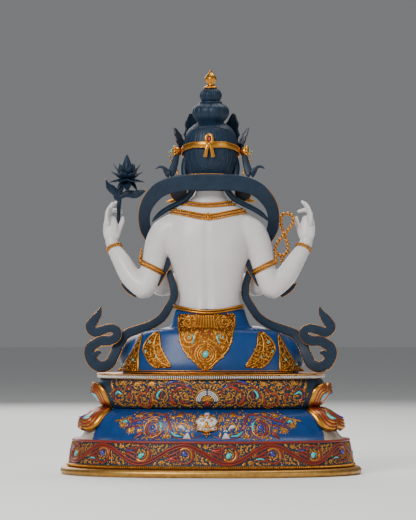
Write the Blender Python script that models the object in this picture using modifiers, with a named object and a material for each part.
"""A seated four-armed bodhisattva on an oval double-lotus throne, in painted and gilt copper.

Metres, +Z up. The origin is on the floor under the middle of the throne, and the figure faces -Y,
so its left hand is on the +X side. The throne has its own sizes. The figure and what it wears and
holds are free forms: their points are in units of 1/343 of the figure's height, counted from the
middle of the seat.
"""

import math

import bmesh
import bpy
import numpy as np

# Throne, driving sizes
THRONE_WIDTH = 0.340
THRONE_DEPTH = 0.250
PLAN_EXPONENT = 2.3
FOOT_ROLL_HEIGHT = 0.0085
FOOT_ROLL_OVERHANG = 0.0085
TIER_HEIGHT = 0.0290
TIER_LEAN = 0.0055
FILLET_HEIGHT = 0.0024
LOWER_LOTUS_STEP = 0.0045
LOWER_LOTUS_HEIGHT = 0.0340
LOWER_LOTUS_DRAW_IN = 0.0330
UPPER_LOTUS_HEIGHT = 0.0330
UPPER_LOTUS_SWELL = 0.0107
RIM_HEIGHT = 0.0050
RIM_OVERHANG = 0.0020
RIM_GROOVE = 0.0040
SEAT_HEIGHT = 0.0012
PETAL_COUNT = 13
PETAL_PITCH_DEGREES = 18.0
LOWER_PETAL_RISE = 0.0110
UPPER_PETAL_RISE = 0.0070
VINE_WAVES = 9
VINE_RELIEF = 0.0016
VINE_HALF_WIDTH = 0.0022
VINE_SWING = 0.30
BOSS_RADIUS = 0.0042

# Share of the lower cushion's height, and share of its draw-in reached there
LOWER_LOTUS_PROFILE = (
    (0.12, 0.14), (0.33, 0.31), (0.62, 0.43), (0.87, 0.66), (1.00, 1.00),
)
UPPER_LOTUS_SHARES = (0.13, 0.36, 0.62, 0.87)
FULL_SWELL_SHARE = 0.62
PETAL_REACH = 1.16
PETAL_POINT_SHARE = 0.45

# Figure, driving sizes
FIGURE_HEIGHT = 0.343
FIGURE_BACK_SHIFT = 0.006
SEAT_GAP = 0.0003

# Units of the figure
UNITS_TALL = 343.0
SWAY = 2.8

CROWN_RADIUS = 33.0
CROWN_MIDDLE_Y = 1.0
CROWN_BAND_Z = 247.0
SCARF_THICKNESS = 2.4
TAIL_THICKNESS = 2.2
ARCH_MIDDLE_X = 2.1
ARCH_TURN = 0.04
ROSARY_BEADS = 22
ROSARY_HALF_WIDTH = 7.4
ROSARY_HALF_DROP = 24.0
ROSARY_LEAN_DEGREES = -10.5
BEAD_RADIUS = 2.1
CORD_RADIUS = 0.8
EARRING_RADIUS = 9.4

# Mesh fineness
PLAIN_STEPS = 10
VINE_STATIONS = 5
FIGURE_VOXEL = 1.15
FIGURE_TRIANGLES = 2700
LOTUS_VOXEL = 0.62
LOTUS_TRIANGLES = 440


def clear_scene():
    for old in list(bpy.data.objects):
        bpy.data.objects.remove(old, do_unlink=True)


def new_collection(name):
    collection = bpy.data.collections.new(name)
    bpy.context.scene.collection.children.link(collection)
    return collection


def new_material(name, colour, roughness, metallic):
    made = bpy.data.materials.new(name)
    made.use_nodes = True
    shader = made.node_tree.nodes["Principled BSDF"]
    shader.inputs["Base Color"].default_value = (*colour, 1.0)
    shader.inputs["Roughness"].default_value = roughness
    shader.inputs["Metallic"].default_value = metallic
    made.diffuse_color = (*colour, 1.0)
    return made


def throne_height():
    heights = (
        FOOT_ROLL_HEIGHT, TIER_HEIGHT, FILLET_HEIGHT, LOWER_LOTUS_HEIGHT,
        UPPER_LOTUS_HEIGHT, RIM_HEIGHT, SEAT_HEIGHT,
    )
    return sum(heights)


def unit():
    """Metres in one unit of the figure."""
    return FIGURE_HEIGHT / UNITS_TALL


def seat_middle():
    """Where the figure's units are counted from: the middle of the seat."""
    return np.array((0.0, FIGURE_BACK_SHIFT, throne_height() + SEAT_GAP))


def smooth_path(stations, count):
    """Catmull-Rom curve through the stations, each a row of any numbers, at count even steps."""
    rows = np.asarray(stations, float)
    padded = np.vstack((2 * rows[0] - rows[1], rows, 2 * rows[-1] - rows[-2]))
    at = np.linspace(0, len(rows) - 1, count)
    index = np.minimum(at.astype(int), len(rows) - 2)
    t = (at - index)[:, None]
    a, b, c, d = (padded[index + k] for k in range(4))
    return 0.5 * (
        2 * b + (c - a) * t + (2 * a - 5 * b + 4 * c - d) * t**2
        + (3 * b - a - 3 * c + d) * t**3
    )


def circle_outline(sides):
    angle = np.arange(sides) * math.tau / sides
    return np.column_stack((np.cos(angle), np.sin(angle)))


def strip_outline():
    """Section of a sheet ribbon."""
    return np.array(((1, 1), (-1, 1), (-1, -1), (1, -1)), float)


def skin(rings, closed=False):
    """Faces that join each ring of points to the next, with flat ends unless the rings close."""
    rows, sides = rings.shape[:2]
    ids = np.arange(rows * sides).reshape(rows, sides)
    upper = np.vstack((ids[1:], ids[:1])) if closed else ids[1:]
    lower = ids if closed else ids[:-1]
    quads = np.stack(
        (lower, np.roll(lower, -1, 1), np.roll(upper, -1, 1), upper), axis=-1
    ).reshape(-1, 4)
    faces = [tuple(map(int, quad)) for quad in quads]
    if not closed:
        faces.append(tuple(int(i) for i in ids[0][::-1]))
        faces.append(tuple(int(i) for i in ids[-1]))
    return rings.reshape(-1, 3), faces


def swept(stations, outline, wide, count=None, closed=False):
    """An outline carried along x, y, z stations. Columns 4 and 5 are its half-sizes; wide is the
    direction, or one for each station, that the outline's first axis keeps to."""
    rows = smooth_path(stations, count) if count else np.asarray(stations, float)
    points = rows[:, :3]
    half_a, half_b = rows[:, 3], rows[:, -1]
    if closed:
        ahead = np.roll(points, -1, 0) - np.roll(points, 1, 0)
    else:
        ahead = np.gradient(points, axis=0)
    ahead /= np.linalg.norm(ahead, axis=1, keepdims=True)
    side = np.broadcast_to(np.asarray(wide, float), points.shape)
    side = side - (side * ahead).sum(1, keepdims=True) * ahead
    side /= np.linalg.norm(side, axis=1, keepdims=True)
    across = np.cross(ahead, side)
    rings = (
        points[:, None]
        + outline[None, :, :1] * (half_a[:, None] * side)[:, None]
        + outline[None, :, 1:] * (half_b[:, None] * across)[:, None]
    )
    return skin(rings, closed)


def turned(levels, sides, exponent=2.0, count=None):
    """Level superellipse rings from stations of z, middle x, middle y, half width, half depth."""
    rows = smooth_path(levels, count) if count else np.asarray(levels, float)
    angle = np.arange(sides) * math.tau / sides
    cos, sin = np.cos(angle), np.sin(angle)
    share = (np.abs(cos) ** exponent + np.abs(sin) ** exponent) ** (-1 / exponent)
    z, x, y, width, depth = (rows[:, k, None] for k in range(5))
    rings = np.stack(
        (x + width * cos * share, y + depth * sin * share, z + 0 * cos), axis=-1
    )
    return skin(rings)


def ball(centre, radii, segments=12, rings=8):
    """A round form as a primitive's points and faces."""
    form = bmesh.new()
    bmesh.ops.create_uvsphere(form, u_segments=segments, v_segments=rings, radius=1.0)
    points = np.array([tuple(v.co) for v in form.verts]) * radii + centre
    faces = [tuple(v.index for v in face.verts) for face in form.faces]
    form.free()
    return points, faces


def mirrored(form, middle=0.0):
    """The form on the other side of the plane x = middle, with its faces turned back out."""
    points, faces = form
    flipped = points.copy()
    flipped[:, 0] = 2 * middle - flipped[:, 0]
    return flipped, [face[::-1] for face in faces]


def both_sides(forms, middle=0.0):
    return list(forms) + [mirrored(form, middle) for form in forms]


def mesh_of(name, forms, scale=1.0):
    """One mesh from several forms, each turned so that its faces point out."""
    made = bmesh.new()
    for points, faces in forms:
        corners = [made.verts.new(p) for p in np.asarray(points) * scale]
        new_faces = [made.faces.new([corners[i] for i in face]) for face in faces]
        bmesh.ops.recalc_face_normals(made, faces=new_faces)
    mesh = bpy.data.meshes.new(name)
    made.to_mesh(mesh)
    made.free()
    return mesh


def new_object(name, mesh, material, collection):
    made = bpy.data.objects.new(name, mesh)
    made.data.materials.clear()
    made.data.materials.append(material)
    made.data.shade_smooth()
    made.data.set_sharp_from_angle(angle=math.radians(50))
    collection.objects.link(made)
    return made


def figure_object(name, forms, material, collection):
    """An object from forms in the figure's units, set on the middle of the seat."""
    made = new_object(name, mesh_of(name, forms, unit()), material, collection)
    made.location = seat_middle()
    return made


def as_cutter(tool):
    tool.hide_render = True
    tool.display_type = "WIRE"
    return tool


def melt(target, voxel_units, triangles):
    """Fuses overlapping forms into one skin: a fine voxel skin, softened, then thinned out."""
    remesh = target.modifiers.new("melt", "REMESH")
    remesh.mode = "VOXEL"
    remesh.voxel_size = voxel_units * unit()
    soften = target.modifiers.new("soften", "SMOOTH")
    soften.factor = 0.5
    soften.iterations = 2
    bpy.context.view_layer.update()
    graph = bpy.context.evaluated_depsgraph_get()
    fine = target.evaluated_get(graph).to_mesh()
    fine_triangles = sum(len(face.vertices) - 2 for face in fine.polygons)
    target.evaluated_get(graph).to_mesh_clear()
    thin = target.modifiers.new("thin", "DECIMATE")
    thin.ratio = triangles / fine_triangles
    thin.use_collapse_triangulate = True


# Throne

def petal_rise(across, up, rise):
    """Height of a lotus petal: across is -1 to 1 over its width, up is 0 at its root and 1 at its
    tip, and its sides draw in to a point over the last third."""
    half = np.clip((PETAL_REACH - up) / PETAL_POINT_SHARE, 0.0, 1.0) ** 0.6
    inside = np.clip(1 - (across / np.maximum(half, 1e-6)) ** 2, 0.0, 1.0)
    swell = 0.45 + 1.1 * up - 0.65 * up**2
    return rise * np.sqrt(inside) * swell * (half > 0)


def throne_angles():
    """Angles round the throne from +Y. Petals fill an arc across the front; the back is plain."""
    arc = math.radians(PETAL_PITCH_DEGREES) * PETAL_COUNT
    petals = np.linspace(math.pi - arc / 2, math.pi + arc / 2, PETAL_COUNT * 4 + 1)
    plain = np.linspace(math.pi + arc / 2, 3 * math.pi - arc / 2, PLAIN_STEPS + 1)[1:-1]
    across = np.concatenate(
        (np.tile((-1.0, -0.5, 0.0, 0.5), PETAL_COUNT), (1.0,), np.ones(PLAIN_STEPS - 1))
    )
    return np.concatenate((petals, plain)), across


def throne_levels():
    """The throne's side from the floor up: inset from the foot, height, petal rise, petal place."""
    roll_inset = FOOT_ROLL_HEIGHT / 2
    half_roll = FOOT_ROLL_HEIGHT / 2
    levels = []
    for step in range(5):
        turn = math.pi * step / 4
        levels.append((roll_inset * (1 - math.sin(turn)), half_roll * (1 - math.cos(turn)), 0, 0))
    z = FOOT_ROLL_HEIGHT
    inset = FOOT_ROLL_OVERHANG
    levels.append((inset, z, 0, 0))
    z += TIER_HEIGHT
    inset += TIER_LEAN
    levels.append((inset, z, 0, 0))
    levels.append((inset - FILLET_HEIGHT / 2, z + FILLET_HEIGHT / 2, 0, 0))
    z += FILLET_HEIGHT
    levels.append((inset + FILLET_HEIGHT / 2, z, 0, 0))
    inset += FILLET_HEIGHT / 2 + LOWER_LOTUS_STEP
    for share, drawn in LOWER_LOTUS_PROFILE:
        at = inset + drawn * LOWER_LOTUS_DRAW_IN
        up = (1 - share) * PETAL_REACH
        levels.append((at, z + share * LOWER_LOTUS_HEIGHT, LOWER_PETAL_RISE, up))
    z += LOWER_LOTUS_HEIGHT
    inset += LOWER_LOTUS_DRAW_IN
    for share in UPPER_LOTUS_SHARES:
        quarter = math.pi / 2 * min(share / FULL_SWELL_SHARE, 1)
        at = inset - UPPER_LOTUS_SWELL * math.sin(quarter)
        up = share * PETAL_REACH
        levels.append((at, z + share * UPPER_LOTUS_HEIGHT, UPPER_PETAL_RISE, up))
    z += UPPER_LOTUS_HEIGHT
    rim_inset = inset - UPPER_LOTUS_SWELL - RIM_OVERHANG
    levels.append((rim_inset + RIM_OVERHANG + RIM_GROOVE, z, 0, 0))
    for step in (1, 2):
        turn = math.pi * step / 3
        levels.append((
            rim_inset + RIM_HEIGHT / 2 * (1 - math.sin(turn)),
            z + RIM_HEIGHT / 2 * (1 - math.cos(turn)), 0, 0,
        ))
    z += RIM_HEIGHT
    levels.append((rim_inset + RIM_HEIGHT / 2, z, 0, 0))
    levels.append((rim_inset + RIM_HEIGHT / 2, z + SEAT_HEIGHT, 0, 0))
    return np.array(levels)


def plan_point(angle, inset, rise=0.0):
    """Where the throne's outline lies at an angle from +Y, turned through +X, at an inset."""
    cos, sin = np.sin(angle), np.cos(angle)
    power = PLAN_EXPONENT
    share = (np.abs(cos) ** power + np.abs(sin) ** power) ** (-1 / power)
    width = THRONE_WIDTH / 2 - inset
    depth = THRONE_DEPTH / 2 - inset
    x, y = width * cos * share, depth * sin * share
    outward = np.stack((x / width**2, y / depth**2), axis=-1)
    outward /= np.linalg.norm(outward, axis=-1, keepdims=True)
    return np.stack((x, y), axis=-1) + outward * np.asarray(rise)[..., None]


def throne_body():
    angles, across = throne_angles()
    rings = []
    for inset, z, rise, up in throne_levels():
        lift = petal_rise(across, up, rise) if rise else np.zeros_like(across)
        plan = plan_point(angles, inset, lift)
        rings.append(np.column_stack((plan, np.full(len(angles), z))))
    return skin(np.array(rings))


def tier_point(run, height):
    """On the face of the tier: run is 0 to 1 round the throne, height 0 to 1 up the tier."""
    inset = FOOT_ROLL_OVERHANG + TIER_LEAN * height
    plan = plan_point(run * math.tau, inset)
    return np.column_stack((plan, FOOT_ROLL_HEIGHT + TIER_HEIGHT * np.asarray(height)))


def tier_vine():
    """A wavy stem that runs all round the tier, with a boss in each of its bends."""
    count = VINE_WAVES * VINE_STATIONS
    run = np.arange(count) / count
    wave = run * VINE_WAVES * math.tau
    points = tier_point(run, 0.5 + VINE_SWING * np.sin(wave))
    half_sizes = np.tile((VINE_RELIEF, VINE_HALF_WIDTH), (count, 1))
    stem = swept(
        np.column_stack((points, half_sizes)), circle_outline(4), points * (1, 1, 0), closed=True
    )
    forms = [stem]
    for number in range(2 * VINE_WAVES):
        below = 1 if number % 2 else -1
        centre = tier_point(
            np.array(((number + 0.5) / (2 * VINE_WAVES),)), np.array((0.5 + 0.16 * below,))
        )[0]
        forms.append(ball(centre, (BOSS_RADIUS, BOSS_RADIUS, BOSS_RADIUS), 6, 3))
    return forms


def build_throne(materials, parts, cutters):
    body = new_object("throne", mesh_of("throne", [throne_body()]), materials["red"], parts)
    vine_mesh = mesh_of("tier_vine", tier_vine())
    vine = as_cutter(new_object("tier_vine", vine_mesh, materials["gold"], cutters))
    raised = body.modifiers.new("vine", "BOOLEAN")
    raised.operation = "UNION"
    raised.solver = "EXACT"
    raised.use_self = True
    raised.object = vine


# Figure

def trunk_forms():
    """Torso, neck and the gathered cloth round the hips, as level slices."""
    torso = (
        (20, 0, 6, 44, 36), (50, 0, 7, 42, 33), (66, 0.3, 8, 38, 29), (82, 0.6, 7, 33.5, 25.5),
        (95, 1, 6, 34.5, 26), (112, 1.7, 5, 39, 28.5), (136, 2.4, 4, 46, 31),
        (156, 2.8, 4, 49, 30), (170, 2.8, 5, 47, 26), (180, 2.6, 6, 43, 21),
        (186, 2.3, 6, 35.5, 18), (190, 2.1, 6, 28.5, 16.6), (196, 1.8, 6, 21, 15.2),
        (203, 1.4, 5, 16.6, 14.5),
        (214, 0.8, 3, 15, 14.5), (226, 0.4, 2, 15, 15),
    )
    hips = (
        (0, 0, 2, 99, 53), (9, 0, 2, 99, 54), (22, 0, 2, 95, 52), (36, 0, 3, 87, 47),
        (44, 0, 5, 74, 40), (49, 0, 7, 55, 35), (60, 0, 8, 42, 31.5), (69, 0.3, 8, 39, 30),
    )
    return [turned(torso, 26, 2.15, 36), turned(hips, 40, 2.3, 20)]


def leg_forms():
    """Knees out to the sides, shins crossed in front, soles turned up on the thighs."""
    thigh = ((30, 6, 23, 25), (62, -8, 23, 23.5), (84, -24, 21, 21), (90, -38, 18, 17.5))
    shin = ((90, -38, 17, 17), (66, -56, 18, 15.5), (34, -66, 20, 13.5), (8, -64, 26, 11))
    over = ((-86, -40, 19, 17), (-62, -58, 25, 15.5), (-30, -64, 32, 13), (0, -60, 39, 10.5))
    foot = ((-2, -59, 39, 9.5), (22, -52, 43, 9), (44, -42, 45, 7.5), (56, -36, 45, 5))
    under_foot = ((6, -63, 27, 9), (-22, -56, 38, 8.5), (-46, -46, 45, 7.5), (-58, -38, 46, 5))
    hem = ((-1, 0, -30, 97, 44), (5, 0, -30, 96, 44), (12, 0, -28, 84, 40), (24, 0, -24, 60, 34))
    limbs = [swept(rows, circle_outline(14), (0, 0, 1), 14) for rows in (thigh, shin, over)]
    limbs += [mirrored(swept(thigh, circle_outline(14), (0, 0, 1), 14))]
    limbs += [swept(rows, circle_outline(10), (0, 0, 1), 10) for rows in (foot, under_foot)]
    limbs += [turned(hem, 40, 2.2, 10)]
    return limbs


def raised_arm_forms():
    """Outer arm, on the left side of the figure: shoulder, elbow low at the side, hand up."""
    upper = (
        (42, 6, 164, 16), (53, 5, 157, 16), (60, 4, 144, 14.5), (63.5, 4, 128, 13.4),
        (68, 6, 112, 12.4), (73, 8, 98, 11.8), (76, 8, 95, 11.2),
    )
    fore = (
        (74, 8, 96, 11.6), (80, 6, 99, 12.2), (90, 1, 110, 12.2), (99, -5, 126, 10.8),
        (106, -10, 138, 8.6), (109.5, -13, 146, 7.4), (110.5, -14, 151, 7.4),
    )
    palm = ((110.5, -14, 149, 7.5, 6), (111, -15, 158, 9.4, 6), (111.5, -16, 168, 8.8, 5.2),
            (112, -17, 174, 7.0, 4.4))
    forms = [swept(rows, circle_outline(14), (0, 1, 0), 16) for rows in (upper, fore)]
    forms.append(swept(palm, circle_outline(12), (1, 0, 0), 8))
    return forms


def hand_finger_forms():
    """Thumb and index finger nearly meet; the other three fingers stand and curl a little."""
    fingers = (
        ((105, -16, 157, 4.2), (100.5, -20, 165, 3.3), (97.5, -24, 172, 2.8), (96.5, -25, 176, 2.2)),
        ((114, -18, 171, 3.2), (115, -26, 179, 2.8), (109.5, -33, 183.5, 2.5), (101, -34, 181, 2.1)),
        ((113, -15, 172, 3.2), (112.5, -15, 182, 2.8), (109.5, -15.5, 190, 2.4), (106, -16, 194, 2.0)),
        ((113, -12, 172, 3.0), (113.5, -11, 181, 2.7), (112, -11, 188, 2.3), (109.5, -11, 193, 1.9)),
        ((114, -10, 169, 2.8), (116, -7, 177, 2.5), (116.5, -6, 183, 2.1), (115.5, -6, 188, 1.7)),
    )
    return [swept(rows, circle_outline(8), (0, 1, 0), 9) for rows in fingers]


def praying_arm_forms():
    """Inner arm, on the left side: elbow beside the ribs, palms together before the chest."""
    upper = ((44, 0, 160, 14), (52, -6, 140, 13), (57, -12, 118, 12), (58, -17, 100, 11.2))
    fore = ((58, -18, 98, 11.4), (48, -32, 100, 11.2), (30, -46, 108, 9), (15, -54, 118, 6.6),
            (9, -56, 124, 6.2))
    palm = ((9, -56, 122, 5.4, 8), (6.4, -57.5, 132, 4.2, 9), (4.6, -58.5, 142, 3.6, 7.5),
            (3.6, -59, 151, 3.0, 6.2), (3.0, -59, 158, 1.8, 3.2))
    forms = [swept(rows, circle_outline(12), (0, 1, 0), 12) for rows in (upper, fore)]
    forms.append(swept(palm, circle_outline(10), (1, 0, 0), 10))
    return forms


def head_forms():
    """Head with a calm, regular face, long ears, dressed hair and a two-tiered topknot."""
    skull = (
        (206, 0.5, -9, 6, 7), (210, 0.5, -9, 12.5, 13), (217, 0.4, -7, 18.5, 18.5),
        (226, 0.3, -5, 21.5, 22), (238, 0.2, -4, 23, 24), (250, 0, -3, 23.5, 24.5),
    )
    hair = (
        (222, 0, 8, 24, 18), (232, 0, 6, 28, 23), (244, 0, 4, 30, 27), (256, 0, 2, 30.3, 29),
        (266, 0, 1, 29, 28.5), (275, 0, 1, 24.5, 24.5), (281.5, 0, 1, 16, 16), (285, 0, 1, 12, 12),
    )
    knot = (
        (281, 0, 1, 13, 13), (285, 0, 1, 15.5, 15.5), (290, 0, 1, 19.4, 19.4),
        (295, 0, 1, 20.5, 20.5), (300, 0, 1, 18.4, 18.4), (304.5, 0, 1, 12, 12),
        (306.5, 0, 1, 9.6, 9.6), (309, 0, 1, 10.8, 10.8), (313.5, 0, 1, 12, 12),
        (317.5, 0, 1, 10.4, 10.4), (320, 0, 1, 6.6, 6.6),
    )
    nose = ((0.3, -27.8, 238, 1.8), (0.3, -30.2, 230, 2.2), (0.3, -31.6, 223.4, 2.8),
            (0.3, -28.4, 221, 2.2))
    lip = ((-5, -24.6, 216, 1.0), (0.3, -26.4, 215.8, 1.8), (5.6, -24.6, 216, 1.0))
    chin = ball((0.4, -21.5, 211.5), (6.5, 5.5, 5))
    ear = ((23.5, -2, 242, 2.4, 4.6), (24.5, -1, 234, 2.2, 4.2), (24.5, -1, 225, 2.0, 3.4),
           (24, -2, 217, 2.2, 3.0))
    forms = [turned(skull, 28, 2.1, 18), turned(hair, 32, 2.1, 22), turned(knot, 24, 2.0, 30)]
    forms += [swept(nose, circle_outline(8), (1, 0, 0), 8), chin]
    forms += [swept(lip, circle_outline(8), (0, 0, 1), 7)]
    forms += both_sides([swept(ear, circle_outline(8), (1, 0, 0), 8)])
    return forms


def hair_lock_forms():
    """Locks that fall from behind the ears and lie out along the tops of the shoulders."""
    lock = ((19, 12, 222, 3.2), (18.5, 17, 209, 3.2), (26, 15, 197.5, 3.0), (36, 11, 191.5, 2.9),
            (47, 8, 186, 2.8), (56, 5, 180.5, 2.6), (63, 2, 174.5, 1.8))
    fall = ((24, 2, 250, 3.0), (28.5, 4, 238, 3.6), (29, 8, 226, 3.6), (26, 12, 214, 3.4))
    return both_sides([
        swept(lock, circle_outline(8), (0, 1, 0), 16), swept(fall, circle_outline(8), (0, 1, 0), 10)
    ])


def loop_round(centre, half_width, half_depth, droop, thickness, tilt=0.0, sides=28):
    """A cord round a level oval, hanging lower at its back by droop and tilted about Y."""
    angle = np.arange(sides) * math.tau / sides
    x = half_width * np.cos(angle)
    y = half_depth * np.sin(angle)
    z = -droop * np.clip(np.sin(angle), 0, 1) ** 1.6 + tilt * x
    stations = np.column_stack(
        (x + centre[0], y + centre[1], z + centre[2], np.full(sides, thickness))
    )
    return swept(stations, circle_outline(6), (0, 0, 1), closed=True)


def jewellery_forms():
    """Necklaces, armlets, bracelets and the waist cord, which are cast in one with the figure."""
    forms = [
        loop_round((2.2, 5, 192), 25, 20, 3.0, 2.7),
        loop_round((2.4, 4, 188.5), 41, 30, 12, 2.9),
        loop_round((0.3, 8, 69), 39.5, 31, 3.5, 2.9),
    ]
    for side in (1, -1):
        armlet = (SWAY + side * 67.5, 5.5, 119.5)
        forms.append(loop_round(armlet, 13.6, 13.8, 0, 1.9, tilt=side * -0.62))
        bracelet = (SWAY + side * 108.4, -12.5, 144.5)
        forms.append(loop_round(bracelet, 8.4, 8.6, 0, 1.5, tilt=side * 0.40))
        jewel = ((SWAY + side * 79.5, 4, 120, 3.2, 4.2), (SWAY + side * 80.5, 4, 130, 2.6, 4.6),
                 (SWAY + side * 77.5, 4, 143, 1.0, 1.2))
        forms.append(swept(jewel, circle_outline(6), (1, 0, 0), 7))
    return forms


def build_figure(materials, parts, cutters):
    forms = trunk_forms() + leg_forms() + head_forms() + hair_lock_forms() + jewellery_forms()
    forms += both_sides(raised_arm_forms() + hand_finger_forms() + praying_arm_forms(), SWAY)
    figure = figure_object("figure", forms, materials["white"], parts)
    melt(figure, FIGURE_VOXEL, FIGURE_TRIANGLES)
    side = 3 * FIGURE_HEIGHT
    box = bmesh.new()
    bmesh.ops.create_cube(box, size=side)
    bmesh.ops.translate(box, vec=(0, 0, -side / 2), verts=box.verts)
    mesh = bpy.data.meshes.new("below_seat")
    box.to_mesh(mesh)
    box.free()
    below = as_cutter(new_object("below_seat", mesh, materials["red"], cutters))
    below.location = seat_middle()
    cut = figure.modifiers.new("flat underside", "BOOLEAN")
    cut.operation = "DIFFERENCE"
    cut.solver = "EXACT"
    cut.object = below


# What the figure wears and holds

def build_topknot_jewel(materials, parts):
    """Gilt bud that stands on the topknot, on its own small disc: a profile turned by a Screw."""
    profile = (
        (0, 343), (1.6, 340), (4.6, 336), (6.6, 332.5), (6.2, 330), (4.4, 327), (4.4, 324.6),
        (7.4, 323.6), (8.2, 322), (7.6, 321), (0, 321),
    )
    foot_z = profile[-1][1]
    mesh = bpy.data.meshes.new("topknot_jewel")
    points = [(radius * unit(), 0, (z - foot_z) * unit()) for radius, z in profile]
    mesh.from_pydata(points, [(i, i + 1) for i in range(len(points) - 1)], [])
    jewel = new_object("topknot_jewel", mesh, materials["gold"], parts)
    jewel.location = seat_middle() + np.array((0, CROWN_MIDDLE_Y, foot_z)) * unit()
    screw = jewel.modifiers.new("turned", "SCREW")
    screw.axis = "Z"
    screw.angle = math.tau
    screw.steps = screw.render_steps = 10
    screw.use_merge_vertices = True
    screw.merge_threshold = 0.0001


def crown_leaf(azimuth, half_width, height, lean):
    """Pointed leaf standing on the crown's band at an azimuth from the front, leaning outwards."""
    turn = math.radians(azimuth)
    out = np.array((math.sin(turn), -math.cos(turn), 0.0))
    along = np.array((math.cos(turn), math.sin(turn), 0.0))
    stations = []
    for share, width in ((0, 0.62), (0.22, 1.0), (0.5, 0.82), (0.8, 0.36), (1.0, 0.05)):
        foot = np.array((0, CROWN_MIDDLE_Y, CROWN_BAND_Z)) + out * (CROWN_RADIUS + 0.6)
        point = foot + out * lean * share**1.5 + np.array((0, 0, height * share))
        stations.append((*point, half_width * width, 1.5 - 0.9 * share))
    return swept(stations, circle_outline(4), along)


def build_crown(materials, parts, cutters):
    """Five-leaf crown on a band that is tied at the back of the hair."""
    count = 26
    angle = np.arange(count) * math.tau / count
    rise = 9.5 * np.clip(np.sin(angle) + 0.35, 0, 1.2) / 1.2
    band = np.column_stack((
        CROWN_RADIUS * np.cos(angle), CROWN_MIDDLE_Y + CROWN_RADIUS * np.sin(angle),
        CROWN_BAND_Z + rise, np.full(count, 3.4), np.full(count, 0.9),
    ))
    forms = [swept(band, strip_outline(), (0, 0, 1), closed=True)]
    for azimuth, half_width, height, lean in (
        (0, 11.5, 52, 3), (-38, 11, 48, 6), (38, 11, 48, 6), (-70, 10.5, 31, 11), (70, 10.5, 31, 11),
    ):
        forms.append(crown_leaf(azimuth, half_width, height, lean))
    forms += both_sides([ball((39, 0, 250), (6, 6.5, 6.5), 8, 5)])
    knot = (CROWN_RADIUS + 1.6, 256.5)
    forms.append(swept(
        ((0, knot[0], knot[1] - 3, 3.2, 1.5), (0, knot[0], knot[1] + 6, 4.4, 1.6),
         (0, knot[0] - 0.8, knot[1] + 12, 1.8, 1.2)), circle_outline(8), (1, 0, 0)))
    for side in (1, -1):
        tail = ((side * 1.2, knot[0], knot[1] + 1, 2.4, 1.2),
                (side * 3.4, knot[0] + 0.4, knot[1] - 7, 2.6, 1.2),
                (side * 5.0, knot[0] + 0.2, knot[1] - 14, 2.0, 1.0))
        forms.append(swept(tail, strip_outline(), (1, 0, 0)))
        ribbon = (
            (side * 38, 2, 247, 3.0, 1.2), (side * 41, 8, 234, 4.0, 1.2),
            (side * 45, 12, 224.5, 4.8, 1.2), (side * 49, 12, 227, 3.4, 1.2),
            (side * 52.5, 12, 231.5, 2.0, 1.2), (side * 57, 12, 232.6, 1.4, 1.1),
            (side * 61, 12, 230.4, 0.6, 0.8),
        )
        wide = [(side, 0, 0.2)] * 3 + [(side, 0, -0.5), (0, 0, 1), (0, 0, 1), (0, 0, 1)]
        ribbon = smooth_path(np.column_stack((ribbon, wide)), 10)
        forms.append(swept(ribbon[:, :5], strip_outline(), ribbon[:, 5:]))
    crown = figure_object("crown", forms[:1], materials["blue"], parts)
    join_all(crown, forms[1:], materials["gold"], cutters)


def join_all(target, forms, material, cutters):
    """Boolean union of the target with each form, in turn, so that it stays one body."""
    for number, form in enumerate(forms):
        name = f"{target.name}_piece_{number}"
        tool = as_cutter(figure_object(name, [form], material, cutters))
        union = target.modifiers.new(name, "BOOLEAN")
        union.operation = "UNION"
        union.solver = "EXACT"
        union.object = tool


def build_scarf_arch(materials, parts):
    """Broad ribbon that stands behind the neck and runs forward over both shoulders."""
    half = (
        (0, 36, 214.4, 9.3), (24, 36, 214, 9.2), (42, 34, 211.2, 9.0), (56, 30, 205, 8.6),
        (66, 22, 195, 8.0), (71.8, 12, 184, 7.0), (73.2, 1, 172, 6.5), (70.8, -10, 160, 6.4),
        (64, -18, 149, 6.0), (57, -24, 139, 5.4),
    )
    right = [(-x, y, z, width) for x, y, z, width in half[:0:-1]]
    rows = np.array(right + list(half))
    rows[:, 0] += ARCH_MIDDLE_X - ARCH_TURN * rows[:, 1]
    centre = np.array((ARCH_MIDDLE_X, 10, 172))
    outward = (rows[:, :3] - centre) * (1, 0.15, 1)
    stations = np.column_stack((rows, np.full(len(rows), SCARF_THICKNESS / 2), outward))
    smooth = smooth_path(stations, 27)
    form = swept(smooth[:, :5], strip_outline(), smooth[:, 5:])
    figure_object("scarf_arch", [form], materials["blue"], parts)


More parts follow.
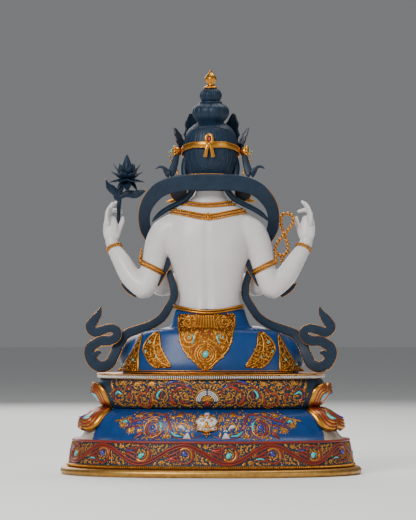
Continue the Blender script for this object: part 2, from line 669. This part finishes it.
def tail_forms(side):
    """End of the scarf, on the side 1 or -1: it leaves the waist, lies over the thigh, drops past
    the knee and curls up on the rim of the seat. Its x is counted from the body's middle line."""
    drop = (
        (45.2, 2, 115, 2.8), (43.2, 3, 106, 3.8), (40.6, 4, 96, 4.4), (40.6, 4, 86, 4.4),
        (46.2, 4, 75, 4.5), (55, 2, 62.5, 4.6), (68, -1, 54, 4.8), (84, -1, 48.5, 5.0),
        (96, 0, 43, 5.4), (103.5, 2, 32, 5.6), (108.5, 5, 20.5, 5.8), (114, 7, 10.5, 6.0),
        (123, 8, 6.9, 6.2), (132, 8, 11.5, 6.2), (136.5, 8, 21.5, 6.0), (134.5, 8, 30, 5.6),
        (126, 8, 35, 5.4),
    )
    loop = (
        (133, 8.4, 31, 5.4), (124, 8.6, 36, 5.6), (114, 8.8, 36.5, 5.6), (106.5, 9, 40.5, 5.2),
        (105.5, 9, 47, 4.8), (112, 9, 50.5, 4.8), (121, 8.8, 48.5, 5.0), (130.5, 8.6, 46, 5.4),
        (135.5, 8.4, 52, 5.6), (131, 8.4, 60, 5.2), (126, 8.2, 67, 3.4), (123.5, 8, 74, 0.8),
    )
    hook = ((133, 8.2, 18, 3.4), (128, 8.2, 22.5, 3.0), (124.5, 8.2, 23, 1.6))
    forms = []
    for rows, count in ((drop, 21), (loop, 17), (hook, 4)):
        stations = smooth_path([(*row, TAIL_THICKNESS / 2) for row in rows], count)
        stations[:, 0] = side * stations[:, 0] + SWAY * np.clip((stations[:, 2] - 60) / 90, 0, 1)
        ahead = np.gradient(stations[:, :3], axis=0)
        wide = np.cross(ahead, (0, 1, 0))
        forms.append(swept(stations, strip_outline(), wide))
    return forms


def build_scarf_tails(materials, parts, cutters):
    for name, side in (("scarf_tail_left", 1), ("scarf_tail_right", -1)):
        forms = tail_forms(side)
        tail = figure_object(name, forms[:1], materials["blue"], parts)
        join_all(tail, forms[1:], materials["blue"], cutters)


def build_lotus(materials, parts):
    """Lotus on its stem, with three leaves, held between the left thumb and fingers."""
    stem = ((106, -25, 160, 1.9), (106.4, -25.5, 170, 2.2), (106.2, -25.5, 184, 2.6),
            (105.6, -24.5, 197, 3.2), (104.6, -22, 206, 3.4), (100.5, -20, 213, 3.0),
            (97, -19, 221, 3.4))
    forms = [swept(stem, circle_outline(8), (0, 1, 0), 14)]
    leaves = (
        ((105.2, -22, 199, 2.6, 1.6), (111, -21, 206, 4.2, 1.3), (117, -20, 212, 3.6, 1.2),
         (120.6, -19, 218, 0.8, 0.8)),
        ((105, -22, 199, 2.6, 1.6), (97, -22, 203, 3.8, 1.3), (87, -21, 202.5, 4.2, 1.2),
         (80, -20, 205, 2.8, 1.1), (76, -20, 206.5, 0.8, 0.8)),
    )
    for leaf in leaves:
        forms.append(swept(leaf, circle_outline(8), (0.35, 0, 1), 9))
    heart = np.array((96.3, -19, 221))
    for count, start, spread, drop, rise, width in (
        (8, 12, 14.5, 2, -10, 4.2), (8, 35, 19, 0, -2, 4.4), (7, 12, 16.5, 3, 11, 4.6),
    ):
        for number in range(count):
            turn = math.radians(start) + number * math.tau / count
            out = np.array((math.cos(turn), math.sin(turn), 0))
            root = heart + (0, 0, drop)
            tip = root + out * spread + (0, 0, rise)
            belly = root + out * spread * 0.66 + (0, 0, rise * 0.36)
            petal = ((*root, 1.8, 1.1), (*belly, width, 1.1), (*tip, 0.5, 0.5))
            forms.append(swept(petal, circle_outline(6), (-out[1], out[0], 0), 7))
    bud = ((222, *heart[:2], 3, 3), (228, *heart[:2], 4.9, 4.9), (234, *heart[:2], 4.4, 4.4),
           (241, *heart[:2], 2.4, 2.4), (247.5, *heart[:2], 0.5, 0.5))
    forms.append(turned(bud, 10, 2.0, 9))
    forms.append(ball(heart, (5.5, 5.5, 5.0)))
    lotus = figure_object("lotus", forms, materials["blue"], parts)
    melt(lotus, LOTUS_VOXEL, LOTUS_TRIANGLES)


def build_rosary(materials, parts):
    """String of round beads hung over the right hand, crossed once into two loops."""
    turn = np.arange(ROSARY_BEADS) * math.tau / ROSARY_BEADS
    lean = math.radians(ROSARY_LEAN_DEGREES)
    across = ROSARY_HALF_WIDTH * np.sin(2 * turn)
    down = ROSARY_HALF_DROP * np.cos(turn)
    middle = np.array((-82.8, -10.6, 156.5))
    centres = middle + np.column_stack((
        down * math.sin(lean) - across * math.cos(lean), 2.4 * np.sin(turn),
        down * math.cos(lean) + across * math.sin(lean),
    ))
    ahead = np.roll(centres, -1, 0) - centres
    stations = np.empty((ROSARY_BEADS * 3, 4))
    for offset, share, radius in ((0, -0.22, BEAD_RADIUS), (1, 0.22, BEAD_RADIUS), (2, 0.5, CORD_RADIUS)):
        stations[offset::3, :3] = centres + ahead * share
        stations[offset::3, 3] = radius
    form = swept(stations, circle_outline(4), (0, 1, 0.2), closed=True)
    figure_object("rosary", [form], materials["gold"], parts)


def build_earrings(materials, parts, cutters):
    """Large round ear ornaments, hung below the ear lobes, each with a pointed drop."""
    edge = EARRING_RADIUS - 2.0
    for name, side in (("earring_left", 1), ("earring_right", -1)):
        rows = [
            (36.5 * side, y, 203, radius)
            for y, radius in ((-4, edge), (-3, EARRING_RADIUS), (-0.6, EARRING_RADIUS), (0.4, edge))
        ]
        disc = swept(rows, circle_outline(14), (1, 0, 0))
        hook = ((27.8 * side, -2, 219.5, 0.9), (31.5 * side, -2, 217, 1.1), (35 * side, -2, 210.5, 1.3))
        earring = figure_object(name, [disc], materials["gold"], parts)
        join_all(earring, [swept(hook, circle_outline(6), (0, 1, 0))], materials["gold"], cutters)


def main():
    clear_scene()
    parts = new_collection("bodhisattva statue")
    cutters = new_collection("cutters and joined pieces")
    materials = {
        "white": new_material("white paint", (0.72, 0.70, 0.67), 0.38, 0.0),
        "blue": new_material("blue paint", (0.02, 0.09, 0.17), 0.45, 0.0),
        "red": new_material("red lacquer", (0.36, 0.07, 0.03), 0.45, 0.0),
        "gold": new_material("fire gilding", (0.80, 0.50, 0.16), 0.32, 1.0),
    }
    build_throne(materials, parts, cutters)
    build_figure(materials, parts, cutters)
    build_topknot_jewel(materials, parts)
    build_crown(materials, parts, cutters)
    build_scarf_arch(materials, parts)
    build_scarf_tails(materials, parts, cutters)
    build_lotus(materials, parts)
    build_rosary(materials, parts)
    build_earrings(materials, parts, cutters)


main()
